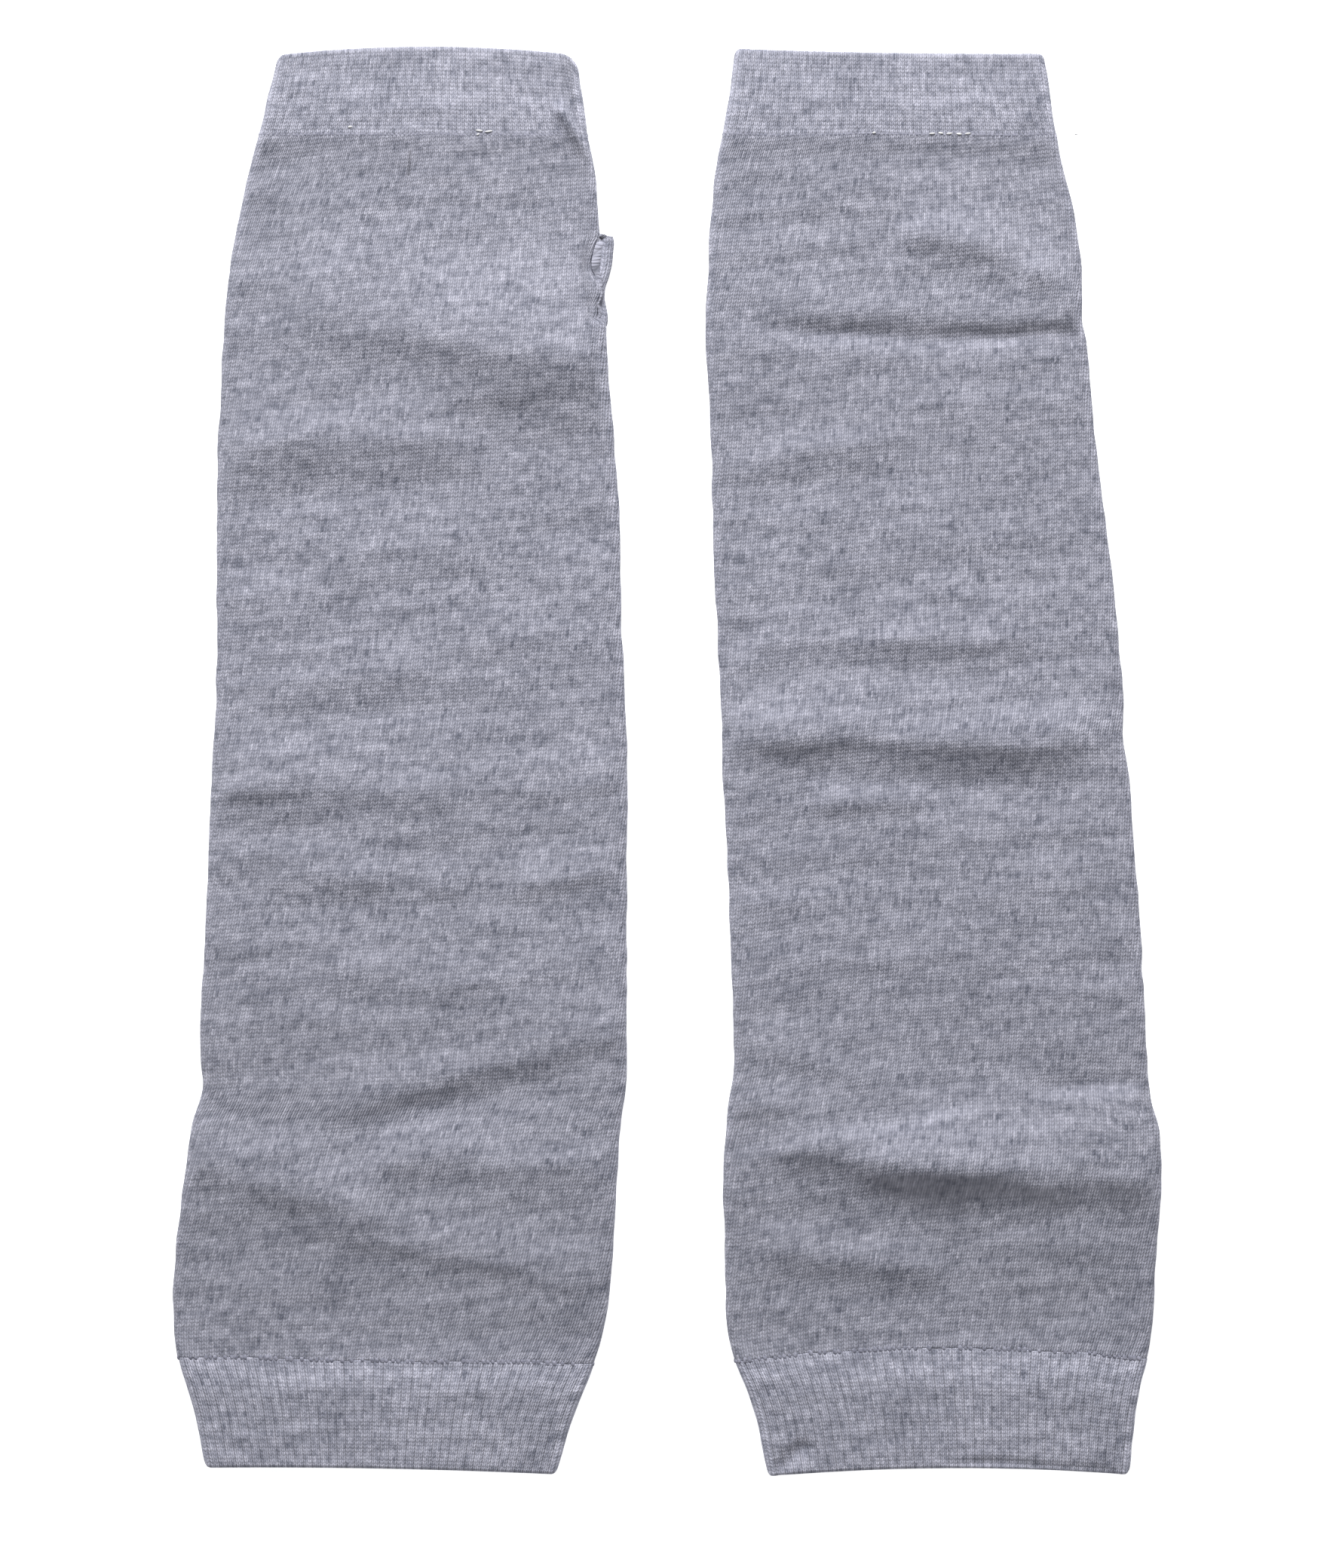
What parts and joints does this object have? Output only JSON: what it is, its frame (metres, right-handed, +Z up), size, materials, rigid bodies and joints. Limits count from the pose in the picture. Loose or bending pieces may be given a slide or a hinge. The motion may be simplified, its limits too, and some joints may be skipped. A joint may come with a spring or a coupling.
{
  "type": "pair of knitted arm warmers laid flat",
  "caption": "Pair of fine-jersey arm warmers laid flat side by side: open tapering tubes with turned welts at hand and upper arm and a banded thumb slit.",
  "frame": {"origin": "on the surface that the pair lies on, under the middle of the pair's bounding box", "axes": "+X across the pair from the left warmer to the right one, +Y along the arms towards the hand ends, +Z up from the surface"},
  "size_m": [0.2356, 0.3403, 0.0062],
  "materials": {
    "jersey": "matt heathered blue-grey single jersey",
    "welt": "matt heathered blue-grey jersey, two plies",
    "band": "matt heathered blue-grey narrow knitted band"
  },
  "bodies": {
    "root": {"left_hand_welt": "welt", "left_body": "jersey", "left_arm_welt": "welt", "left_thumb_band": "band", "right_hand_welt": "welt", "right_body": "jersey", "right_arm_welt": "welt", "right_thumb_band": "band"}
  },
  "joints": []
}
